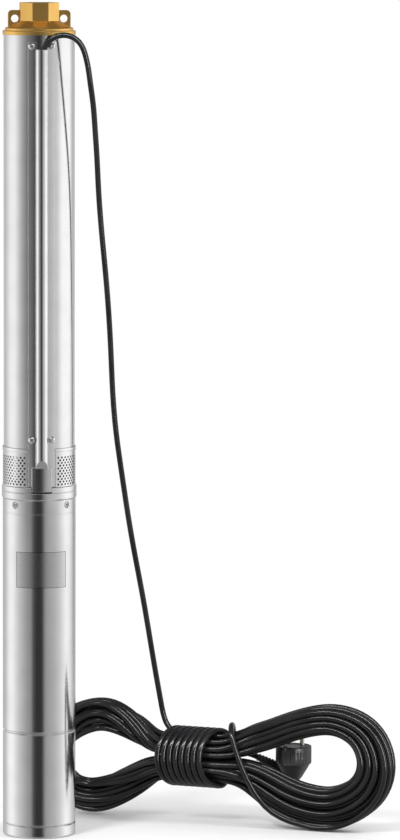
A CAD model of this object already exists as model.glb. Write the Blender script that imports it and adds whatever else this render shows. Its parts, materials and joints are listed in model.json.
"""Borehole submersible pump: camera, cable, fittings, materials and light."""
import json
import math

import bpy
import numpy as np
from mathutils import Matrix, Vector


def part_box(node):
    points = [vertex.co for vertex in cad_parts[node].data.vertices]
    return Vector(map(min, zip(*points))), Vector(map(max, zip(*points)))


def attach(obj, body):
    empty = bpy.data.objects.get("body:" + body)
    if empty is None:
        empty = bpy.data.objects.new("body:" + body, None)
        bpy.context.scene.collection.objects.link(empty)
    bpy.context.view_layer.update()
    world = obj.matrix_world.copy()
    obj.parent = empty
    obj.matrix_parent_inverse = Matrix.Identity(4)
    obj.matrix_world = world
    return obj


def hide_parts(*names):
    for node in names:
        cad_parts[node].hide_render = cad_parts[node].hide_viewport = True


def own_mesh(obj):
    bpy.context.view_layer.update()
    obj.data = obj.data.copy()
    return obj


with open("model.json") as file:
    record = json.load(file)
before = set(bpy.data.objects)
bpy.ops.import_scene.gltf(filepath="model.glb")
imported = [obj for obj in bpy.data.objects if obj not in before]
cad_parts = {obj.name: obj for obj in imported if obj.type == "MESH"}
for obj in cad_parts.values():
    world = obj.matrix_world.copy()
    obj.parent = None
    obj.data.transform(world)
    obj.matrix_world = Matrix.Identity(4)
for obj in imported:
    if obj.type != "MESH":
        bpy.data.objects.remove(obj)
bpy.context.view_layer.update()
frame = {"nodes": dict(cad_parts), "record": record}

scene = bpy.context.scene
nodes = frame["nodes"]
# Pieces are measured in millimetres; the camera, materials and studio in metres, as the scene is
MM = 0.001


def link(obj):
    """Puts a new object into the scene."""
    scene.collection.objects.link(obj)
    return obj


def mesh_object(name, verts, faces, material, smooth=True):
    """A mesh piece from plain lists, with one material."""
    mesh = bpy.data.meshes.new(name)
    mesh.from_pydata([tuple(v) for v in verts], [], faces)
    mesh.materials.append(material)
    mesh.polygons.foreach_set("use_smooth", [smooth] * len(mesh.polygons))
    mesh.update()
    return link(bpy.data.objects.new(name, mesh))


def tube_faces(rings, sides, start=True, end=True):
    """Faces between closed rings of points, with caps at the ends that are asked for."""
    faces = []
    for i in range(rings - 1):
        for k in range(sides):
            n = (k + 1) % sides
            faces.append((i * sides + k, i * sides + n, (i + 1) * sides + n, (i + 1) * sides + k))
    if start:
        faces.append(tuple(range(sides - 1, -1, -1)))
    if end:
        faces.append(tuple((rings - 1) * sides + k for k in range(sides)))
    return faces


def turned_points(profile, sides):
    """Rings of points round Z, in metres, from a profile of heights and radii in millimetres."""
    angles = [2 * math.pi * k / sides for k in range(sides)]
    return [(r * math.cos(a) * MM, r * math.sin(a) * MM, z * MM) for z, r in profile for a in angles]


def rectangle(half_x, half_y, z=0.0):
    """Corners of a level rectangle round the Z axis."""
    return [(-half_x, -half_y, z), (half_x, -half_y, z), (half_x, half_y, z), (-half_x, half_y, z)]


def split_edges(obj, degrees):
    """Keeps the edges sharp at which the surface turns by more than an angle."""
    split = obj.modifiers.new("edges", "EDGE_SPLIT")
    split.split_angle = math.radians(degrees)


# Camera: a long lens, a little above the pump's top and looking slightly down
CAMERA_AT = Vector((-0.3767, -5.3870, 0.979))
CAMERA_AIM = Vector((0.1644, -0.0415, 0.4393))
CAMERA_ROLL = math.radians(0.179)
CAMERA_LENS = 222.9
CAMERA_FILM = 36
CAMERA_REACH = 100


def add_camera():
    data = bpy.data.cameras.new("camera")
    data.lens = CAMERA_LENS
    data.sensor_width = CAMERA_FILM
    data.clip_end = CAMERA_REACH
    camera = link(bpy.data.objects.new("camera", data))
    turn = (CAMERA_AIM - CAMERA_AT).to_track_quat("-Z", "Y").to_matrix().to_4x4()
    camera.matrix_world = Matrix.Translation(CAMERA_AT) @ turn @ Matrix.Rotation(CAMERA_ROLL, 4, "Z")
    scene.camera = camera


# Materials

# Unlit inside of the intake: its tone, and how softly it begins
SHADE = (0.02, 0.02, 0.02)
SHADE_FADE = 0.00015


class Tree:
    """A tree of shader nodes, and short ways to add to it."""

    def __init__(self, owner):
        owner.use_nodes = True
        self.tree = owner.node_tree

    def add(self, kind, **settings):
        node = self.tree.nodes.new(kind)
        for key, value in settings.items():
            setattr(node, key, value)
        return node

    def join(self, source, target):
        self.tree.links.new(source, target)


class Shader(Tree):
    """A material with a Principled shader, and patterns for it."""

    def __init__(self, name):
        self.material = bpy.data.materials.new(name)
        super().__init__(self.material)
        self.bsdf = self.tree.nodes["Principled BSDF"]
        self.coords = None

    def object_coords(self):
        if self.coords is None:
            self.coords = self.add("ShaderNodeTexCoord").outputs["Object"]
        return self.coords

    def noise(self, scale, detail=3.0, rough=0.5, stretch=(1, 1, 1)):
        """Noise of about 1/scale metres, squeezed along the axes by the stretch."""
        mapping = self.add("ShaderNodeMapping")
        mapping.inputs["Scale"].default_value = stretch
        self.join(self.object_coords(), mapping.inputs["Vector"])
        node = self.add("ShaderNodeTexNoise")
        node.inputs["Scale"].default_value = scale
        node.inputs["Detail"].default_value = detail
        node.inputs["Roughness"].default_value = rough
        self.join(mapping.outputs["Vector"], node.inputs["Vector"])
        return node.outputs["Fac"]

    def spread(self, source, low, high, first=0.3, last=0.7):
        """Maps a pattern's values from first to last to a range."""
        node = self.add("ShaderNodeMapRange")
        node.inputs["From Min"].default_value = first
        node.inputs["From Max"].default_value = last
        node.inputs["To Min"].default_value = low
        node.inputs["To Max"].default_value = high
        self.join(source, node.inputs["Value"])
        return node.outputs["Result"]

    def tint(self, source, first, second):
        """Mixes two colours, plain or from nodes, by a pattern."""
        node = self.add("ShaderNodeMix", data_type="RGBA")
        ends = [s for s in node.inputs if s.type == "RGBA"]
        for socket, colour in zip(ends, (first, second)):
            if isinstance(colour, tuple):
                socket.default_value = (*colour, 1)
            else:
                self.join(colour, socket)
        self.join(source, node.inputs["Factor"])
        return [s for s in node.outputs if s.type == "RGBA"][0]

    def outside(self, radius):
        """0 nearer to the pump's axis than the radius, 1 further out."""
        flat = self.add("ShaderNodeVectorMath", operation="MULTIPLY")
        flat.inputs[1].default_value = (1, 1, 0)
        self.join(self.object_coords(), flat.inputs[0])
        length = self.add("ShaderNodeVectorMath", operation="LENGTH")
        self.join(flat.outputs["Vector"], length.inputs[0])
        return self.spread(length.outputs["Value"], 0, 1, radius - SHADE_FADE, radius + SHADE_FADE)

    def bump(self, source, strength, distance, normal=None):
        node = self.add("ShaderNodeBump")
        node.inputs["Strength"].default_value = strength
        node.inputs["Distance"].default_value = distance
        self.join(source, node.inputs["Height"])
        if normal is not None:
            self.join(normal, node.inputs["Normal"])
        return node.outputs["Normal"]

    def rounded_edges(self, radius):
        node = self.add("ShaderNodeBevel", samples=4)
        node.inputs["Radius"].default_value = radius
        return node.outputs["Normal"]


# Cloudy unevenness of metals and of mouldings: its scale
METAL_CLOUD = 35
MOULD_CLOUD = 25
# Bump distance of the metals' grain and of the mouldings' skin
GRAIN_DEPTH = 0.0002
SKIN_DEPTH = 0.0001
# Radius of a metal edge, where a material says no other
EDGE = 0.0003


def metal(name, dark, light, rough, grain, edge=EDGE, dull_inside=None):
    """Metal with a grain, given by its scale, stretch and strength; dull inside a radius, if given."""
    s = Shader(name)
    scale, stretch, strength = grain
    fine = s.noise(scale, detail=4.0, rough=0.6, stretch=stretch)
    cloud = s.noise(METAL_CLOUD)
    colour = s.tint(s.spread(cloud, 0, 1), dark, light)
    if dull_inside is not None:
        colour = s.tint(s.outside(dull_inside), SHADE, colour)
    s.join(colour, s.bsdf.inputs["Base Color"])
    s.join(s.spread(fine, *rough), s.bsdf.inputs["Roughness"])
    s.bsdf.inputs["Metallic"].default_value = 1.0
    s.join(s.bump(fine, strength, GRAIN_DEPTH, s.rounded_edges(edge)), s.bsdf.inputs["Normal"])
    return s.material


def moulded(name, dark, light, rough, scale=900, strength=0.15, specular=0.5):
    """Moulded plastic or rubber with a fine skin."""
    s = Shader(name)
    skin = s.noise(scale, rough=0.6)
    cloud = s.noise(MOULD_CLOUD)
    s.join(s.tint(s.spread(cloud, 0, 1), dark, light), s.bsdf.inputs["Base Color"])
    s.join(s.spread(cloud, *rough), s.bsdf.inputs["Roughness"])
    s.join(s.bump(skin, strength, SKIN_DEPTH), s.bsdf.inputs["Normal"])
    s.bsdf.inputs["Specular IOR Level"].default_value = specular
    return s.material


# Brushing round the pump: its scale and stretch; and the stretch of an even grain
BRUSHED = 18
ROUND = (1, 1, 40)
EVEN = (1, 1, 1)
# The tubes' steel, which the motor's has round its plate field: colours, roughness and grain
TUBE_DARK = (0.78, 0.78, 0.78)
TUBE_LIGHT = (0.84, 0.84, 0.845)
TUBE_ROUGH = (0.13, 0.18)
TUBE_GRAIN = (BRUSHED, ROUND, 0.012)
# Radius inside which the strainer and the intake bracket are dull
SCREEN_DULL = 0.0375
BRACKET_DULL = 0.0372

TUBE_STEEL = metal("tube_steel", TUBE_DARK, TUBE_LIGHT, TUBE_ROUGH, TUBE_GRAIN)
SHEET_STEEL = metal(
    "sheet_steel", (0.82, 0.82, 0.82), (0.88, 0.88, 0.885), (0.13, 0.19), (BRUSHED, ROUND, 0.01), 0.0008)
SHELL_STEEL = metal(
    "shell_steel", (0.80, 0.80, 0.80), (0.86, 0.86, 0.865), (0.13, 0.18), (BRUSHED, ROUND, 0.012), 0.002)
SCREEN_STEEL = metal(
    "screen_steel", (0.80, 0.80, 0.80), (0.86, 0.86, 0.865), (0.14, 0.20), (BRUSHED, ROUND, 0.01), 0.0001,
    SCREEN_DULL)
CAST_STEEL = metal(
    "cast_steel", (0.80, 0.80, 0.80), (0.87, 0.87, 0.875), (0.16, 0.22), (BRUSHED, ROUND, 0.02), 0.0005)
BRACKET_STEEL = metal(
    "bracket_steel", (0.80, 0.80, 0.80), (0.87, 0.87, 0.875), (0.16, 0.22), (BRUSHED, ROUND, 0.02), 0.0005,
    BRACKET_DULL)
SCREW_STEEL = metal(
    "screw_steel", (0.74, 0.74, 0.75), (0.84, 0.84, 0.85), (0.10, 0.16), (400, EVEN, 0.02), 0.0001)
SHAFT_STEEL = metal(
    "shaft_steel", (0.60, 0.60, 0.62), (0.70, 0.70, 0.72), (0.18, 0.28), (BRUSHED, ROUND, 0.05))
BRASS = metal(
    "brass_casting", (0.94, 0.57, 0.15), (0.99, 0.63, 0.20), (0.36, 0.44), (90, (1, 1, 0.15), 0.01), 0.0006)
COPPER = metal("winding", (0.55, 0.24, 0.10), (0.70, 0.34, 0.16), (0.30, 0.45), (200, (1, 1, 0.1), 0.4))
LAMINATION = metal(
    "lamination", (0.34, 0.34, 0.36), (0.42, 0.42, 0.44), (0.35, 0.50), (60, (0.2, 0.2, 40), 0.4))
ALUMINIUM = metal("cage_aluminium", (0.66, 0.67, 0.68), (0.76, 0.77, 0.78), (0.35, 0.50), (300, EVEN, 0.2))
PIN_METAL = metal("plug_metal", (0.66, 0.62, 0.50), (0.76, 0.72, 0.60), (0.20, 0.30), (300, EVEN, 0.05))
CABLE = moulded(
    "cable_jacket", (0.004, 0.004, 0.0045), (0.008, 0.008, 0.0085), (0.13, 0.19), 700, 0.01, 0.3)
RUBBER = moulded("rubber_black", (0.015, 0.015, 0.015), (0.03, 0.03, 0.03), (0.55, 0.70))
PLUG = moulded("plug_black", (0.010, 0.010, 0.011), (0.018, 0.018, 0.019), (0.32, 0.44), 1200, 0.2)
BOWL = moulded("bowl_plastic", (0.03, 0.035, 0.05), (0.05, 0.055, 0.075), (0.45, 0.60))
IMPELLER = moulded("impeller_plastic", (0.66, 0.62, 0.52), (0.76, 0.72, 0.62), (0.35, 0.50))
VALVE = moulded("valve_plastic", (0.04, 0.04, 0.045), (0.07, 0.07, 0.075), (0.40, 0.55))
CARBON = moulded("bush_carbon", (0.012, 0.012, 0.013), (0.025, 0.025, 0.026), (0.25, 0.40))
CERAMIC = moulded("seal_ceramic", (0.74, 0.72, 0.66), (0.82, 0.80, 0.75), (0.15, 0.25))
CASE = moulded("capacitor_case", (0.72, 0.72, 0.69), (0.80, 0.80, 0.77), (0.30, 0.45))

# Bare plate field on the motor: the height of its middle, its half sizes, the width of its frame line
PLATE_UP = 0.283
PLATE_HALF = (0.0252, 0.0182)
PLATE_LINE = 0.0006
# Its etching: scale, colours of the field and of the frame line, roughness
ETCH_SCALE = 1500
ETCH_DARK = (0.58, 0.58, 0.58)
ETCH_LIGHT = (0.70, 0.70, 0.70)
LINE_DARK = (0.20, 0.20, 0.20)
LINE_LIGHT = (0.30, 0.30, 0.30)
ETCH_ROUGH = (0.20, 0.30)


def motor_steel():
    """Tube steel with a bare etched field, thinly framed, where a rating plate would be."""
    s = Shader("motor_steel")
    scale, stretch, strength = TUBE_GRAIN
    fine = s.noise(scale, detail=4.0, rough=0.6, stretch=stretch)
    cloud = s.noise(METAL_CLOUD)
    etch = s.noise(ETCH_SCALE, detail=2.0)
    xyz = s.add("ShaderNodeSeparateXYZ")
    s.join(s.object_coords(), xyz.inputs["Vector"])

    def math_node(operation, first, second):
        node = s.add("ShaderNodeMath", operation=operation)
        for socket, value in zip(node.inputs, (first, second)):
            if isinstance(value, float):
                socket.default_value = value
            else:
                s.join(value, socket)
        return node.outputs[0]

    across = math_node("ABSOLUTE", xyz.outputs["X"], 0.0)
    up = math_node("ABSOLUTE", math_node("SUBTRACT", xyz.outputs["Z"], PLATE_UP), 0.0)
    front = math_node("LESS_THAN", xyz.outputs["Y"], 0.0)

    def field(grow):
        wide = math_node("LESS_THAN", across, PLATE_HALF[0] + grow)
        tall = math_node("LESS_THAN", up, PLATE_HALF[1] + grow)
        return math_node("MULTIPLY", math_node("MULTIPLY", wide, tall), front)

    plate = field(0.0)
    frame_line = math_node("SUBTRACT", field(PLATE_LINE), plate)

    colour = s.tint(s.spread(cloud, 0, 1), TUBE_DARK, TUBE_LIGHT)
    etched = s.tint(s.spread(etch, 0, 1), ETCH_DARK, ETCH_LIGHT)
    line = s.tint(s.spread(etch, 0, 1), LINE_DARK, LINE_LIGHT)
    s.join(s.tint(frame_line, s.tint(plate, colour, etched), line), s.bsdf.inputs["Base Color"])
    rough = s.add("ShaderNodeMix")
    s.join(plate, rough.inputs["Factor"])
    s.join(s.spread(fine, *TUBE_ROUGH), rough.inputs["A"])
    s.join(s.spread(etch, *ETCH_ROUGH), rough.inputs["B"])
    s.join(rough.outputs["Result"], s.bsdf.inputs["Roughness"])
    s.bsdf.inputs["Metallic"].default_value = 1.0
    s.join(s.bump(fine, strength, GRAIN_DEPTH, s.rounded_edges(EDGE)), s.bsdf.inputs["Normal"])
    return s.material


SLOT_MATERIALS = {
    "brass_casting": BRASS, "brass_seat": BRASS, "rubber_black": RUBBER, "cable_jacket": CABLE,
    "plug_black": PLUG, "plug_metal": PIN_METAL, "tube_steel": TUBE_STEEL, "sheet_steel": SHEET_STEEL,
    "cast_steel": CAST_STEEL, "screw_steel": SCREW_STEEL, "shaft_steel": SHAFT_STEEL,
    "bearing_steel": SHAFT_STEEL, "spring_steel": SHAFT_STEEL, "bowl_plastic": BOWL,
    "impeller_plastic": IMPELLER, "valve_plastic": VALVE, "bush_carbon": CARBON,
    "seal_ceramic": CERAMIC, "lamination": LAMINATION, "winding": COPPER,
    "cage_aluminium": ALUMINIUM, "capacitor_case": CASE,
}


def dress_nodes():
    """Every CAD node takes the material of its slot, apart from a few with a finish of their own."""
    own = {
        "motor_shell": motor_steel(), "strainer_screen": SCREEN_STEEL, "intake_bracket": BRACKET_STEEL,
        "capacitor_shell": SHELL_STEEL, "end_cap": SHELL_STEEL,
    }
    for entry in frame["record"]["subparts"]:
        material = own.get(entry["node"], SLOT_MATERIALS[entry["material_slot"]])
        for slot in nodes[entry["node"]].material_slots:
            slot.material = material


# Cable: one length from the guard down to the tied hank and on to the plug

CABLE_D = 6.0
CABLE_ROUNDNESS = 4
# The hank's own frame: its middle on the floor, its turn, and the directions along it, back and up
HANK_AT = np.array([165.0, 60.0, 0.0])
HANK_TURN = math.radians(-27)
HANK_ALONG = np.array([math.cos(HANK_TURN), math.sin(HANK_TURN), 0.0])
HANK_BACK = np.array([-HANK_ALONG[1], HANK_ALONG[0], 0.0])
UP = np.array([0.0, 0.0, 1.0])

# From the guard's top over its edge and down to the hank
DROP_ROUTE = [
    (0, -41, 806), (0, -41, 816), (3, -42, 828), (11, -45, 836), (22, -48, 839), (33, -48, 836),
    (41, -47, 828), (45, -45, 816), (48, -42, 803), (50, -39, 788), (54, -33, 765), (56, -26, 740),
    (59, -17, 710), (61, -8, 675), (65, 0, 632), (70, 7, 589), (74, 15, 547), (77, 22, 504),
    (79, 28, 461), (83, 33, 418), (90, 39, 375), (97, 48, 331), (105, 56, 288), (114, 63, 245),
    (122, 71, 201), (130, 82, 157), (136, 91, 128), (139, 95, 112), (142, 92, 101), (147, 87, 94),
]
# Into the hank, in its own frame: along, back, up
ENTRY = [(-17, 13.4, 89.6), (-6, 12, 89.4)]
# Middle of the bundle round the hank: along, up, half its thickness, twist in degrees
BUNDLE = [
    (-14, 83, 13, 0), (16, 84, 13.5, 0), (43, 87, 15, 0), (70, 91, 15, 0), (88, 97, 15, 0),
    (106, 105, 15, 0), (124, 112, 15, 0), (151, 119, 15.5, 0), (169, 118, 16, 0), (187, 112, 17.5, 0),
    (202, 100, 19, 0), (212, 75, 20, 0), (205, 48, 21, 0), (187, 33, 21.5, 0), (169, 25, 21.5, 0),
    (151, 22, 21.5, 0), (124, 26, 21.5, 0), (106, 33, 21, 0), (88, 43, 19.5, 0), (70, 53, 16.5, 0),
    (43, 56, 15, 0), (16, 56, 13.5, 0), (-14, 56.5, 13, 0), (-41, 53, 13.5, 0), (-58, 44, 15, -10),
    (-76, 33, 17, -30), (-95, 24, 18.5, -50), (-113, 19, 18.5, -60), (-132, 23, 18, -55),
    (-153, 38, 18, -35), (-161, 62, 18, 0), (-153, 84, 18, 35), (-132, 100, 17.5, 70),
    (-113, 108, 17, 85), (-95, 111, 16.5, 80), (-76, 104, 16, 60), (-58, 94, 15, 30), (-41, 85, 13, 8),
]
# Turns of the bundle, and half the depth of their rows
TURNS = 18
ROW_DEPTH = 8.1
# Points to a turn, and where on the bundle a turn begins: along and up
TURN_POINTS = 84
TURN_START = (6, 84)
# Left of this, behind the pump, a turn goes over to the next one's place
CHANGE_AT = -118
# The last turn leaves the bundle here on its way back, after moving out of it by shares across and back
LEAVE_AT = 145
LEAVE_ACROSS = 0.34
LEAVE_BACK = 0.22
# Unevenness of the turns: its size, its waves to a turn, its shift from turn to turn in radians
SWAY_ACROSS = [(0.55, 2, 1.7), (0.35, 5, 2.9)]
SWAY_BACK = (0.5, 3, 2.3)
# Least gap between cable and floor
FLOOR_GAP = 0.2
# The tied waist is round: its middle, half its straight length, its fade at each end, its inside radius
WAIST_AT = 9.0
WAIST_UP = 69.5
WAIST_HALF = 26.0
WAIST_FADE = 42.0
WAIST_R = 23.4
# Turns in the waist: half their depth, their shift back or forward by turns, the gap to the waist's middle
WAIST_DEPTH = 14.0
WAIST_STAGGER = 2.6
WAIST_GAP = 3.2
# Loose strand over the front of the right half, then over the top and down the back
CROSSING = [
    (130, -10.5, 5), (107, -12.8, 12), (91, -14.6, 22), (77, -15.6, 40), (67, -16.8, 60),
    (60, -18.4, 78), (55.5, -18.6, 92), (51.5, -13, 102.5), (48, -2, 107), (45, 9.5, 104.5),
    (42.5, 18.5, 96.5), (41, 23.5, 84), (40, 24, 70), (39.3, 20.5, 55.5), (38.3, 12.5, 44.5),
    (36.8, 3, 39.6),
]
# Wraps round the waist: how many, points to a wrap, start, pitch, radius, lean, and the share of the last one
WRAPS = 8
WRAP_POINTS = 20
WRAP_FIRST = 34.2
WRAP_PITCH = 6.83
WRAP_R = 29.8
WRAP_LEAN = 0.364
WRAP_END = 0.55
# From the last wrap in under the wraps, along the back of the waist and out to the plug
TUCK = [
    (-13.8, 17, 94.5), (-13, 20.6, 88), (-10, 23, 81.2), (-4.5, 23.8, 75.8), (3.5, 23.4, 72.8),
    (13, 22.6, 72.2), (25, 22, 73.4), (38, 22.2, 74.5), (48, 23.6, 73.9), (57, 25, 72.4),
    (65, 26, 69.9), (73, 26, 66.6), (82, 26, 62.7),
]
# Steps of the splines from point to point: of the drop, of the hank, and of the bundle's middle
DROP_STEPS = 3
HANK_STEPS = 2
BUNDLE_STEPS = 40


def in_hank(p):
    """A point of the hank's own frame in the frame of the whole, in millimetres."""
    return HANK_AT + p[0] * HANK_ALONG + p[1] * HANK_BACK + p[2] * UP


def spline_point(a, b, c, d, t):
    """A point of a uniform cubic B-spline, from near b at t = 0 to near c at t = 1."""
    return ((1 - t) ** 3 * a + (3 * t ** 3 - 6 * t * t + 4) * b
            + (3 * (t + t * t - t ** 3) + 1) * c + t ** 3 * d) / 6


def spline(points, steps):
    """B-spline along the points, ends held."""
    p = np.array(points, float)
    p = np.vstack([p[:1], p, p[-1:], p[-1:]])
    out = []
    for i in range(len(p) - 3):
        out += [spline_point(*p[i:i + 4], t) for t in np.arange(steps) / steps]
    return np.array(out)


def closed_spline(rows, count):
    """Count samples of the closed B-spline along the rows, evenly spaced in their first two columns."""
    p = np.array(rows, float)
    n = len(p)
    fine = []
    for i in range(n):
        four = [p[(i + k) % n] for k in (-1, 0, 1, 2)]
        fine += [spline_point(*four, t) for t in np.arange(BUNDLE_STEPS) / BUNDLE_STEPS]
    fine = np.array(fine)
    step = np.linalg.norm(np.roll(fine, -1, 0)[:, :2] - fine[:, :2], axis=1)
    along = np.concatenate([[0], np.cumsum(step)])
    closed = np.vstack([fine, fine[:1]])
    places = np.linspace(0, along[-1], count, endpoint=False)
    return np.stack([np.interp(places, along, closed[:, k]) for k in range(closed.shape[1])], 1)


def turn_places():
    """Places of the turns in the bundle's section, each from -1 to 1: across the bundle and back."""
    places = []
    for row, back in enumerate((1, 1 / 3, -1 / 3, -1)):
        across = [1, 0.5, 0, -0.5, -1] if row % 2 == 0 else [-0.75, -0.25, 0.25, 0.75]
        places += [(u, back) for u in across]
    return places


def ease(share):
    """A share from 0 to 1 with soft ends."""
    share = min(1.0, max(0.0, share))
    return share * share * (3 - 2 * share)


def turned(p, q, degrees):
    """A place of the section turned about the bundle's middle, its corners pulled in on the way."""
    angle = math.radians(degrees)
    pull = abs(math.sin(2 * angle))
    p, q = (p + pull * p * (math.sqrt(1 - q * q / 2) - 1),
            q + pull * q * (math.sqrt(1 - p * p / 2) - 1))
    return p * math.cos(angle) - q * math.sin(angle), p * math.sin(angle) + q * math.cos(angle)


def in_waist(p, q, turn, side):
    """A place of the section inside the round waist: back and up."""
    back = q * WAIST_DEPTH + (WAIST_STAGGER if turn % 2 else -WAIST_STAGGER)
    limit = math.sqrt(WAIST_R ** 2 - back ** 2)
    return back, WAIST_UP + side * (WAIST_GAP + (p + 1) / 2 * (limit - WAIST_GAP))


def sway(size, waves, shift, turn, angle):
    """How far a turn is off its place at an angle of the way round."""
    return size * math.sin(waves * angle + shift * turn)


def loop_points():
    """The turns of the hank, one after the other; each turn changes place behind the pump."""
    line = closed_spline(BUNDLE, TURN_POINTS)
    ahead = np.roll(line, -1, 0)[:, :2] - np.roll(line, 1, 0)[:, :2]
    ahead /= np.linalg.norm(ahead, axis=1)[:, None]
    outward = np.stack([-ahead[:, 1], ahead[:, 0]], 1)
    first = int(np.argmin(np.hypot(line[:, 0] - TURN_START[0], line[:, 1] - TURN_START[1])))
    line, outward = np.roll(line, -first, 0), np.roll(outward, -first, 0)
    left = [k for k in range(TURN_POINTS) if line[k, 0] < CHANGE_AT]
    right = int(np.argmax(line[:, 0]))
    leave = next(k for k in range(right, TURN_POINTS) if line[k, 0] < LEAVE_AT)
    places = np.array(turn_places())
    points = []
    for turn in range(TURNS):
        here, there = places[turn], places[min(turn + 1, TURNS - 1)]
        for k in range(TURN_POINTS):
            s, z, half, twist = line[k]
            p, q = here + (there - here) * ease((k - left[0]) / (left[-1] - left[0]))
            if turn == TURNS - 1:
                if k > leave:
                    return points
                p += LEAVE_ACROSS * ease((k - right) / (leave - right))
                q -= LEAVE_BACK * ease((k - right) / (leave - right))
            angle = 2 * math.pi * k / TURN_POINTS
            u, v = turned(p, q, twist)
            u = u * (half - CABLE_D / 2) + sum(sway(*kind, turn, angle) for kind in SWAY_ACROSS)
            v = v * ROW_DEPTH + sway(*SWAY_BACK, turn, angle)
            up = z + outward[k, 1] * u
            tied = 1 - ease((abs(s - WAIST_AT) - WAIST_HALF) / WAIST_FADE)
            back, high = in_waist(p, q, turn, 1 if z > WAIST_UP else -1)
            up = max(up + (high - up) * tied, CABLE_D / 2 + FLOOR_GAP)
            points.append((s + outward[k, 0] * u, v + (back - v) * tied, up))
    return points


def wrap_points():
    """Tight wraps round the waist, from right to left: under, up the front, over and down the back."""
    points = []
    for k in range(int(WRAP_POINTS * (WRAPS - 1 + WRAP_END)) + 1):
        a = 2 * math.pi * k / WRAP_POINTS
        back = -WRAP_R * math.sin(a)
        along = WRAP_FIRST - k / WRAP_POINTS * WRAP_PITCH + WRAP_LEAN * back
        points.append((along, back, WAIST_UP - WRAP_R * math.cos(a)))
    return points


def cable_line():
    """All points of the cable, in millimetres in the frame of the whole."""
    drop = [np.array(p, float) for p in DROP_ROUTE] + [in_hank(p) for p in ENTRY]
    loops = [in_hank(p) for p in loop_points()]
    rest = [in_hank(p) for p in CROSSING + wrap_points() + TUCK]
    controls = drop + loops + rest
    d, n = len(drop), len(loops)
    # Each stretch starts or ends with points of its neighbours, and is cut off where they take over
    first = spline(controls[:d + 2], DROP_STEPS)[:DROP_STEPS * d]
    middle = spline(controls[d - 1:d + n + 1], HANK_STEPS)[2 * HANK_STEPS:HANK_STEPS * n + 1]
    last = spline(controls[d + n - 2:], HANK_STEPS)[2 * HANK_STEPS + 1:]
    return np.vstack([first, middle, last])


def add_cable():
    line = cable_line() * MM
    data = bpy.data.curves.new("supply_cable", "CURVE")
    data.dimensions = "3D"
    data.bevel_depth = CABLE_D / 2 * MM
    data.bevel_resolution = CABLE_ROUNDNESS
    data.use_fill_caps = True
    path = data.splines.new("POLY")
    path.points.add(len(line) - 1)
    for point, place in zip(path.points, line):
        point.co = (*place, 1)
    path.use_smooth = True
    data.materials.append(CABLE)
    cable = link(bpy.data.objects.new("supply_cable", data))
    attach(cable, "pump")
    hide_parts("cable_drop", "cable_hank", "cable_tail")
    length = float(np.linalg.norm(np.diff(line, axis=0), axis=1).sum())
    return cable, tuple(line[0]), length


# Plug: tapered back, round face with side grooves and fine ridges, and a ribbed boot

# In the hank's frame: along, back, up
PLUG_AT = (108, 26, 46)
PLUG_D = 38.0
PLUG_BACK = 19.0
PLUG_ROUND = 19.0
PLUG_SIDES = 96
PLUG_CREASE = 38
# Grooves in the round part: middles and half width as shares of a turn, depth as a share, steepness
GROOVES = (0.25, 0.75)
GROOVE_HALF = 0.035
GROOVE_DEPTH = 0.09
GROOVE_STEEP = 3
# Ridges: their depth, how far up they go, and points to a ridge
RIDGE_DEPTH = 0.35
RIDGE_H = 14
RIDGE_POINTS = 4
# Boot: its start from the plug's middle, dip, length, plain length at each end
BOOT_REACH = 9.0
BOOT_RISE = 9.5
BOOT_DIP = math.radians(23)
BOOT_L = 34.0
BOOT_PLAIN = 2.0
BOOT_SIDES = 40
BOOT_CREASE = 40
# Its root as heights and radii, and its tip as distances from the end and radii
BOOT_ROOT = [(-3.0, 7.2), (0.0, 6.9)]
BOOT_TIP = [(1.6, 4.2), (0.4, 4.0), (0.0, 3.5), (0.0, 2.9)]
# Its ribs: how many, radius of the first, taper to the last; and one rib as shares of the pitch and depths
RIBS = 8
RIB_R = 6.7
RIB_TAPER = 2.3
RIB = [(0.0, 0.0), (0.45, 0.0), (0.55, 0.95), (0.95, 1.05)]


def plug_matrix():
    """The plug's frame: face up, cord end towards the hank's waist."""
    place = in_hank(PLUG_AT) * MM
    turn = Matrix.Rotation(HANK_TURN, 4, "Z")
    return Matrix.Translation(Vector(place)) @ turn


def plug_sections():
    """Half sizes and squareness of the plug from its back to its face: height, along, across, power."""
    top = PLUG_BACK + PLUG_ROUND
    r = PLUG_D / 2
    back = [
        (0.0, 4.0, 3.6, 3.4), (1.0, 6.2, 5.4, 3.4), (4.0, 8.6, 7.0, 3.2), (9.0, 11.6, 9.6, 3.0),
        (14.0, 14.6, 12.8, 2.8), (17.6, 16.6, 15.6, 2.5), (18.6, 17.0, 16.4, 2.3),
    ]
    face = [
        (PLUG_BACK, r - 0.6), (19.8, r), (26.0, r), (32.0, r), (top - 1.2, r), (top - 0.3, r - 0.5),
        (top, r - 1.2), (top, r - 3.0), (top - 1.0, r - 3.4),
    ]
    return back + [(height, radius, radius, 2.0) for height, radius in face]


def plug_point(section, k):
    """A point of one of the plug's sections; those of the round part have ridges and grooves."""
    height, along, across, power = section
    a = 2 * math.pi * k / PLUG_SIDES
    c, s = math.cos(a), math.sin(a)
    x = math.copysign(abs(c) ** (2 / power), c) * along
    y = math.copysign(abs(s) ** (2 / power), s) * across
    if height > PLUG_BACK:
        if height < PLUG_BACK + RIDGE_H and k % RIDGE_POINTS < RIDGE_POINTS / 2:
            x -= RIDGE_DEPTH * c
            y -= RIDGE_DEPTH * s
        groove = max(1 - abs(k / PLUG_SIDES - middle) / GROOVE_HALF for middle in GROOVES)
        y *= 1 - GROOVE_DEPTH * min(1.0, max(0.0, groove) * GROOVE_STEEP)
    return x * MM, y * MM, height * MM


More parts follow.
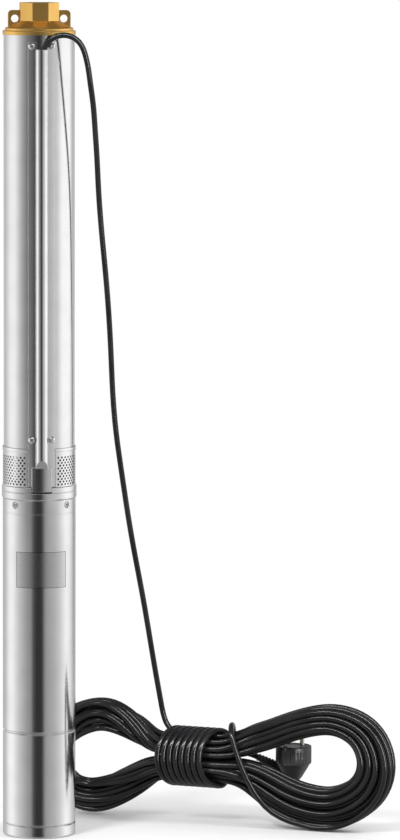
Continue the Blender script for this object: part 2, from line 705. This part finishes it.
def add_plug():
    sections = plug_sections()
    verts = [plug_point(section, k) for section in sections for k in range(PLUG_SIDES)]
    plug = mesh_object("plug_shell", verts, tube_faces(len(sections), PLUG_SIDES), PLUG)
    plug.matrix_world = plug_matrix()
    split_edges(plug, PLUG_CREASE)
    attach(plug, "pump")
    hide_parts("plug_body")
    return plug


def add_boot():
    """Ribbed boot that tapers from the plug to the cable."""
    profile = list(BOOT_ROOT)
    pitch = (BOOT_L - 2 * BOOT_PLAIN) / RIBS
    for k in range(RIBS):
        start = BOOT_PLAIN + k * pitch
        radius = RIB_R - RIB_TAPER * k / (RIBS - 1)
        profile += [(start + share * pitch, radius - depth) for share, depth in RIB]
    profile += [(BOOT_L - distance, radius) for distance, radius in BOOT_TIP]
    verts = turned_points(profile, BOOT_SIDES)
    boot = mesh_object("plug_ribs", verts, tube_faces(len(profile), BOOT_SIDES, end=False), PLUG)
    place = Matrix.Translation(Vector((-BOOT_REACH, 0, BOOT_RISE)) * MM)
    boot.matrix_world = plug_matrix() @ place @ Matrix.Rotation(BOOT_DIP - math.pi / 2, 4, "Y")
    split_edges(boot, BOOT_CREASE)
    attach(boot, "pump")
    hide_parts("plug_boot")
    return boot


# Screws with cross recesses

SCREW_SIDES = 40
SCREW_CREASE = 35
# Rings of the domed head, as shares of the angle from its middle to its edge
DOME_RINGS = (1, 0.96, 0.85, 0.7, 0.55, 0.4, 0.25, 0.1)
# Recess: half an arm's width and its reach as shares of the head's radius, depth as a share of its height
RECESS_ARM = 0.19
RECESS_REACH = 0.68
RECESS_DEPTH = 0.75
# Its size at the bottom and over the top, as shares, and how far its cutter stands over the head
RECESS_BOTTOM = 0.6
RECESS_TOP = 1.05
RECESS_OVER = 0.4
# Pan heads on the guard: radius, height and crown
GUARD_HEAD = (3.5, 2.2, 1.5)
# Their heights, distance apart, and the radius of the guard's outside
GUARD_SCREWS_UP = (826.3, 419.0)
GUARD_SCREWS_APART = 20.4
GUARD_R = 37.83
# Flush heads round the motor's top: radius, height and crown
COVER_HEAD = (3.5, 2.5, 1.1)
# How many, angle of the first in degrees, height, radius of their seats
COVER_SCREWS = 4
COVER_FIRST = -45
COVER_UP = 350.2
COVER_SEAT_R = 35.85
# How far the crosses are turned, in radians: the first of a set, and each further one
GUARD_SPIN = (0.15, 0.4)
COVER_SPIN = (0.7, 1.0)


def cross_screw(name, head_r, head_h, crown, place):
    """A domed screw head with a cross recess, its axis along +Z of place; crown is the dome's height."""
    ball = (head_r ** 2 + crown ** 2) / (2 * crown)
    edge = math.asin(head_r / ball)
    profile = [(0.0, head_r)]
    for share in DOME_RINGS:
        a = edge * share
        profile.append((head_h - ball + ball * math.cos(a), ball * math.sin(a)))
    verts = turned_points(profile, SCREW_SIDES)
    head = mesh_object(name, verts, tube_faces(len(profile), SCREW_SIDES), SCREW_STEEL)
    arm, reach = RECESS_ARM * head_r, RECESS_REACH * head_r
    quarter = [(arm, arm), (arm, reach), (-arm, reach)]
    cross = []
    for _ in range(4):
        cross += quarter
        quarter = [(-y, x) for x, y in quarter]
    ends = [(RECESS_BOTTOM, head_h - RECESS_DEPTH * head_h), (RECESS_TOP, head_h + RECESS_OVER)]
    cut_verts = [(x * size * MM, y * size * MM, z * MM) for size, z in ends for x, y in cross]
    cut_faces = tube_faces(len(ends), len(cross))
    cutter = mesh_object(name + "_cutter", cut_verts, cut_faces, SCREW_STEEL, smooth=False)
    cut = head.modifiers.new("recess", "BOOLEAN")
    cut.object = cutter
    cut.solver = "EXACT"
    bpy.context.view_layer.update()
    shaped = bpy.data.meshes.new_from_object(head.evaluated_get(bpy.context.evaluated_depsgraph_get()))
    head.modifiers.clear()
    head.data = shaped
    bpy.data.objects.remove(cutter)
    split_edges(head, SCREW_CREASE)
    head.matrix_world = place
    return head


def radial_place(x, y, z, radius, spin):
    """A frame on the tube's surface, +Z pointing out."""
    out = Vector((x, y, 0)).normalized()
    base = out * radius * MM + Vector((0, 0, z * MM))
    turn = out.to_track_quat("Z", "Y").to_matrix().to_4x4()
    return Matrix.Translation(base) @ turn @ Matrix.Rotation(spin, 4, "Z")


def add_screws():
    """Pan heads on the guard and flush heads round the motor's top."""
    angle = math.asin(GUARD_SCREWS_APART / 2 / GUARD_R)
    heads = []
    for z in GUARD_SCREWS_UP:
        for side in (-1, 1):
            spin = GUARD_SPIN[0] + GUARD_SPIN[1] * len(heads)
            place = radial_place(side * math.sin(angle), -math.cos(angle), z, GUARD_R, spin)
            heads.append(cross_screw(f"guard_screw_{len(heads) + 1}", *GUARD_HEAD, place))
    flush = []
    for k in range(COVER_SCREWS):
        a = math.radians(COVER_FIRST + 360 / COVER_SCREWS * k)
        spin = COVER_SPIN[0] + COVER_SPIN[1] * k
        place = radial_place(math.cos(a), math.sin(a), COVER_UP, COVER_SEAT_R, spin)
        flush.append(cross_screw(f"cover_screw_{k + 1}", *COVER_HEAD, place))
    for head in heads + flush:
        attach(head, "pump")
    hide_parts("guard_screws")
    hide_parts("cover_screws")


# Rolled hem round the top of the strainer, open in front where the guard passes

# Its height, how far it stands out and reaches in, half its opening
HEM_H = 3.6
HEM_PROUD = 0.45
HEM_INSIDE = 0.5
HEM_OPEN = math.radians(21.5)
# Steps round the strainer and round the hem, and the powers that flatten its round: out and up
HEM_STEPS = 160
HEM_ROUND_STEPS = 8
HEM_POWERS = (0.5, 0.6)
HEM_CREASE = 50


def add_strainer_hem():
    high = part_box("strainer_screen")[1]
    top = high[2] / MM
    sheet = high[0] / MM
    profile = [(sheet - HEM_INSIDE, top - HEM_H)]
    for k in range(HEM_ROUND_STEPS + 1):
        a = math.pi * (k / HEM_ROUND_STEPS - 0.5)
        out = math.cos(a) ** HEM_POWERS[0]
        up = math.copysign(abs(math.sin(a)) ** HEM_POWERS[1], math.sin(a))
        profile.append((sheet + HEM_PROUD * out, top - HEM_H / 2 + HEM_H / 2 * up))
    profile.append((sheet - HEM_INSIDE, top))
    verts = []
    for k in range(HEM_STEPS + 1):
        a = HEM_OPEN + (2 * math.pi - 2 * HEM_OPEN) * k / HEM_STEPS
        verts += [(r * math.sin(a) * MM, -r * math.cos(a) * MM, z * MM) for r, z in profile]
    hem = mesh_object("strainer_hem", verts, tube_faces(HEM_STEPS + 1, len(profile)), SHEET_STEEL)
    split_edges(hem, HEM_CREASE)
    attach(hem, "pump")


# Return spring of the check valve: its wire, turns, steps to a turn and sides of the wire
SPRING_WIRE = 1.2
SPRING_TURNS = 5
SPRING_STEPS = 40
SPRING_SIDES = 12


def add_valve_spring():
    """Return spring, which shortens towards its fixed end as the valve lifts."""
    low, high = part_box("valve_spring")
    wire_r = SPRING_WIRE / 2 * MM
    mean_r = high[0] - wire_r
    rise = high[2] - low[2] - 2 * wire_r
    count = SPRING_TURNS * SPRING_STEPS
    verts = []
    for k in range(count + 1):
        a = 2 * math.pi * k / SPRING_STEPS
        middle = low[2] + wire_r + rise * k / count
        for j in range(SPRING_SIDES):
            b = 2 * math.pi * j / SPRING_SIDES
            r = mean_r + wire_r * math.cos(b)
            verts.append((r * math.cos(a), r * math.sin(a), middle + wire_r * math.sin(b)))
    faces = [face[::-1] for face in tube_faces(count + 1, SPRING_SIDES)]
    spring = mesh_object("valve_return_spring", verts, faces, SHAFT_STEEL)
    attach(spring, "pump")
    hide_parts("valve_spring")
    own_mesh(spring)


# Thread inside the outlet: pitch, turns, steps to a turn, radii of root and crest, height of its start
THREAD_PITCH = 2.309
THREAD_TURNS = 6.4
THREAD_STEPS = 72
THREAD_ROOT_R = 15.12
THREAD_CREST_R = 14.1
THREAD_LOW = 853.6
# Steps in which it rises at each end, and half the width of its root and crest as shares of the pitch
THREAD_FADE = 12
ROOT_HALF = 0.5
CREST_HALF = 0.08


def add_outlet_thread():
    """Helical thread inside the outlet."""
    count = int(THREAD_TURNS * THREAD_STEPS)
    verts, faces = [], []
    for k in range(count + 1):
        a = 2 * math.pi * k / THREAD_STEPS
        fade = min(1.0, k / THREAD_FADE, (count - k) / THREAD_FADE)
        middle = THREAD_LOW + THREAD_PITCH * k / THREAD_STEPS
        crest = THREAD_ROOT_R - (THREAD_ROOT_R - THREAD_CREST_R) * fade
        profile = [
            (THREAD_ROOT_R, -ROOT_HALF), (crest, -CREST_HALF),
            (crest, CREST_HALF), (THREAD_ROOT_R, ROOT_HALF),
        ]
        for r, share in profile:
            verts.append((r * math.cos(a) * MM, r * math.sin(a) * MM, (middle + share * THREAD_PITCH) * MM))
    row = len(profile)
    for k in range(count):
        for j in range(row - 1):
            i = k * row + j
            faces.append((i, i + 1, i + row + 1, i + row))
    thread = mesh_object("outlet_thread", verts, faces, BRASS)
    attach(thread, "pump")


# Studio

# Floor: half its size, tone, and the distances from its middle between which it fades to white
FLOOR_HALF = 40.0
FLOOR_TONE = (0.92, 0.92, 0.92, 1)
FLOOR_MIDDLE = (0.14, 0.0, 0.0)
FLOOR_FADE = (0.16, 0.42)
# Grey level of the studio's walls by direction, in degrees from the camera's side, left negative
UPPER_TONES = [
    (-180, 0.6), (-140, 0.6), (-105, 1.05), (-85, 1.05), (-60, 0.5), (-40, 0.22), (-15, 0.1), (-5, 0.04),
    (5, 0.04), (30, 0.5), (60, 0.7), (80, 1.15), (115, 1.15), (135, 0.55), (180, 0.6),
]
LOWER_TONES = [
    (-180, 0.45), (-135, 0.6), (-110, 1.05), (-95, 1.1), (-70, 0.7), (-40, 0.4), (-25, 0.3), (-20, 0.1),
    (-10, 0.035), (10, 0.035), (20, 0.35), (50, 0.5), (70, 0.7), (95, 1.1), (110, 1.0), (130, 0.65),
    (165, 0.4), (180, 0.45),
]
GROUND_TONES = [
    (-180, 0.4), (-130, 0.55), (-105, 0.85), (-50, 0.4), (0, 0.2), (50, 0.45), (105, 0.85), (130, 0.55),
    (180, 0.4),
]
CEILING_TONE = 0.12
WALL_R = 6.6
WALL_SIDES = 96
WALL_LOW = -3.0
WALL_SPLIT = -0.36
WALL_HIGH = 4.0
# Half the size of the ground and ceiling, which reach past the walls
GROUND_HALF = WALL_R * 1.5
CAMERA_SIDE = math.radians(-4)
# Wide softbox over the front, for highlights: its half sizes, middle and tone
SOFTBOX = (2.2, 0.55)
SOFTBOX_AT = (-0.3, -1.7, 2.4)
SOFTBOX_TONE = 1.4
# Strength of the light all round, and of the white that the camera and reflections see
SKY_LIGHT = 0.85
SKY_WHITE = 1.0
# What the lamps for all pieces are aimed at
LAMP_AIM = (0.15, 0.0, 0.2)


def bare_tree(owner, output):
    """A tree with nothing but an output, and that output's socket."""
    t = Tree(owner)
    t.tree.nodes.clear()
    return t, t.add(output).inputs["Surface"]


def floor_material():
    """Pale, and white to the camera further out."""
    material = bpy.data.materials.new("floor")
    t, surface = bare_tree(material, "ShaderNodeOutputMaterial")
    pale = t.add("ShaderNodeBsdfDiffuse")
    pale.inputs["Color"].default_value = FLOOR_TONE
    white = t.add("ShaderNodeEmission")
    white.inputs["Strength"].default_value = 1.0
    coords = t.add("ShaderNodeTexCoord")
    distance = t.add("ShaderNodeVectorMath", operation="DISTANCE")
    distance.inputs[1].default_value = FLOOR_MIDDLE
    fade = t.add("ShaderNodeMapRange", interpolation_type="SMOOTHSTEP")
    fade.inputs["From Min"].default_value = FLOOR_FADE[0]
    fade.inputs["From Max"].default_value = FLOOR_FADE[1]
    ray = t.add("ShaderNodeLightPath")
    share = t.add("ShaderNodeMath", operation="MULTIPLY")
    mix = t.add("ShaderNodeMixShader")
    t.join(coords.outputs["Object"], distance.inputs[0])
    t.join(distance.outputs["Value"], fade.inputs["Value"])
    t.join(fade.outputs["Result"], share.inputs[0])
    t.join(ray.outputs["Is Camera Ray"], share.inputs[1])
    t.join(share.outputs[0], mix.inputs["Fac"])
    t.join(pale.outputs["BSDF"], mix.inputs[1])
    t.join(white.outputs["Emission"], mix.inputs[2])
    t.join(mix.outputs["Shader"], surface)
    return material


def add_floor():
    """Pale floor that keeps the shadow near the object and goes to white further out."""
    corners = rectangle(FLOOR_HALF, FLOOR_HALF)
    floor = mesh_object("floor", corners, [(0, 1, 2, 3)], floor_material(), smooth=False)
    floor.visible_glossy = False


def wall_material(name, tones):
    """Light by direction round the studio."""
    material = bpy.data.materials.new(name)
    t, surface = bare_tree(material, "ShaderNodeOutputMaterial")
    light = t.add("ShaderNodeEmission")
    coords = t.add("ShaderNodeTexCoord")
    xyz = t.add("ShaderNodeSeparateXYZ")
    flip = t.add("ShaderNodeMath", operation="MULTIPLY")
    flip.inputs[1].default_value = -1.0
    angle = t.add("ShaderNodeMath", operation="ARCTAN2")
    turn = t.add("ShaderNodeMapRange")
    turn.inputs["From Min"].default_value = -math.pi
    turn.inputs["From Max"].default_value = math.pi
    ramp = t.add("ShaderNodeValToRGB")
    ramp.color_ramp.interpolation = "LINEAR"
    stops = ramp.color_ramp.elements
    for k, (degrees, tone) in enumerate(tones):
        place = (degrees + 180) / 360
        # A new ramp has two stops already
        stop = stops[k] if k < 2 else stops.new(place)
        stop.position = place
        stop.color = (tone, tone, tone, 1)
    t.join(coords.outputs["Object"], xyz.inputs["Vector"])
    t.join(xyz.outputs["Y"], flip.inputs[0])
    t.join(xyz.outputs["X"], angle.inputs[0])
    t.join(flip.outputs[0], angle.inputs[1])
    t.join(angle.outputs[0], turn.inputs["Value"])
    t.join(turn.outputs["Result"], ramp.inputs["Fac"])
    t.join(ramp.outputs["Color"], light.inputs["Color"])
    t.join(light.outputs["Emission"], surface)
    return material


def plain_light(name, tone):
    """Even light of one tone."""
    material = bpy.data.materials.new(name)
    t, surface = bare_tree(material, "ShaderNodeOutputMaterial")
    light = t.add("ShaderNodeEmission")
    light.inputs["Color"].default_value = (tone, tone, tone, 1)
    t.join(light.outputs["Emission"], surface)
    return material


def add_walls():
    """Round studio that only reflections see: dark behind the camera, bright to both sides."""
    walls = [
        ("studio_lower", LOWER_TONES, (WALL_LOW, WALL_SPLIT)),
        ("studio_upper", UPPER_TONES, (WALL_SPLIT, WALL_HIGH)),
    ]
    pieces = []
    for name, tones, ends in walls:
        verts = []
        for z in ends:
            for k in range(WALL_SIDES):
                a = 2 * math.pi * k / WALL_SIDES
                verts.append((WALL_R * math.cos(a), WALL_R * math.sin(a), z))
        faces = tube_faces(len(ends), WALL_SIDES, start=False, end=False)
        pieces.append(mesh_object(name, verts, faces, wall_material(name, tones)))
    squares = [
        ("studio_ground", wall_material("studio_ground", GROUND_TONES), WALL_LOW),
        ("studio_ceiling", plain_light("studio_ceiling", CEILING_TONE), WALL_HIGH),
    ]
    for name, material, z in squares:
        corners = rectangle(GROUND_HALF, GROUND_HALF, z)
        pieces.append(mesh_object(name, corners, [(0, 1, 2, 3)], material))
    for obj in pieces:
        obj.rotation_euler = (0, 0, CAMERA_SIDE)
    light = plain_light("studio_softbox", SOFTBOX_TONE)
    softbox = mesh_object("studio_softbox", rectangle(*SOFTBOX), [(0, 1, 2, 3)], light)
    softbox.location = SOFTBOX_AT
    pieces.append(softbox)
    for obj in pieces:
        obj.visible_camera = False
        obj.visible_diffuse = False
        obj.visible_shadow = False
        obj.visible_transmission = False


def add_world():
    """Soft light all round, and white where the camera, a reflection or a see-through piece meets it."""
    world = bpy.data.worlds.new("studio")
    scene.world = world
    t, surface = bare_tree(world, "ShaderNodeOutputWorld")
    soft = t.add("ShaderNodeBackground")
    soft.inputs["Color"].default_value = (1, 1, 1, 1)
    soft.inputs["Strength"].default_value = SKY_LIGHT
    white = t.add("ShaderNodeBackground")
    white.inputs["Color"].default_value = (1, 1, 1, 1)
    white.inputs["Strength"].default_value = SKY_WHITE
    ray = t.add("ShaderNodeLightPath")
    two = t.add("ShaderNodeMath", operation="MAXIMUM")
    three = t.add("ShaderNodeMath", operation="MAXIMUM")
    mix = t.add("ShaderNodeMixShader")
    t.join(ray.outputs["Is Camera Ray"], two.inputs[0])
    t.join(ray.outputs["Is Glossy Ray"], two.inputs[1])
    t.join(two.outputs[0], three.inputs[0])
    t.join(ray.outputs["Is Transmission Ray"], three.inputs[1])
    t.join(three.outputs[0], mix.inputs["Fac"])
    t.join(soft.outputs["Background"], mix.inputs[1])
    t.join(white.outputs["Background"], mix.inputs[2])
    t.join(mix.outputs["Shader"], surface)


def add_lamp(name, place, aim, size, power, only=()):
    """Area lamp for diffuse light; one that lights only some objects gives them highlights too."""
    data = bpy.data.lights.new(name, "AREA")
    data.shape = "RECTANGLE"
    data.size, data.size_y = size
    data.energy = power
    lamp = link(bpy.data.objects.new(name, data))
    lamp.location = place
    lamp.rotation_euler = (Vector(aim) - Vector(place)).to_track_quat("-Z", "Y").to_euler()
    lamp.visible_glossy = bool(only)
    if only:
        lit = bpy.data.collections.new(name + "_lit")
        for obj in only:
            lit.objects.link(obj)
        lamp.light_linking.receiver_collection = lit


def add_lights(black):
    """Two lamps for all pieces, and two strips that light the black ones alone."""
    add_lamp("key", place=(-1.8, -2.2, 2.9), aim=LAMP_AIM, size=(0.8, 0.8), power=60)
    add_lamp("fill", place=(2.2, -1.2, 2.6), aim=LAMP_AIM, size=(0.7, 1.2), power=25)
    add_lamp("strip", place=SOFTBOX_AT, aim=(0.15, 0.0, 0.1), size=(4.0, 0.5), power=230, only=black)
    add_lamp(
        "side_strip", place=(1.7, -2.4, 0.9), aim=(0.2, 0.0, 0.3), size=(0.4, 2.6), power=110, only=black)


scene.view_settings.view_transform = "Standard"
add_camera()
dress_nodes()
cable, cable_exit, cable_length = add_cable()
plug = add_plug()
boot = add_boot()
add_screws()
add_strainer_hem()
add_valve_spring()
add_outlet_thread()
add_floor()
add_walls()
add_world()
add_lights((cable, plug, boot))
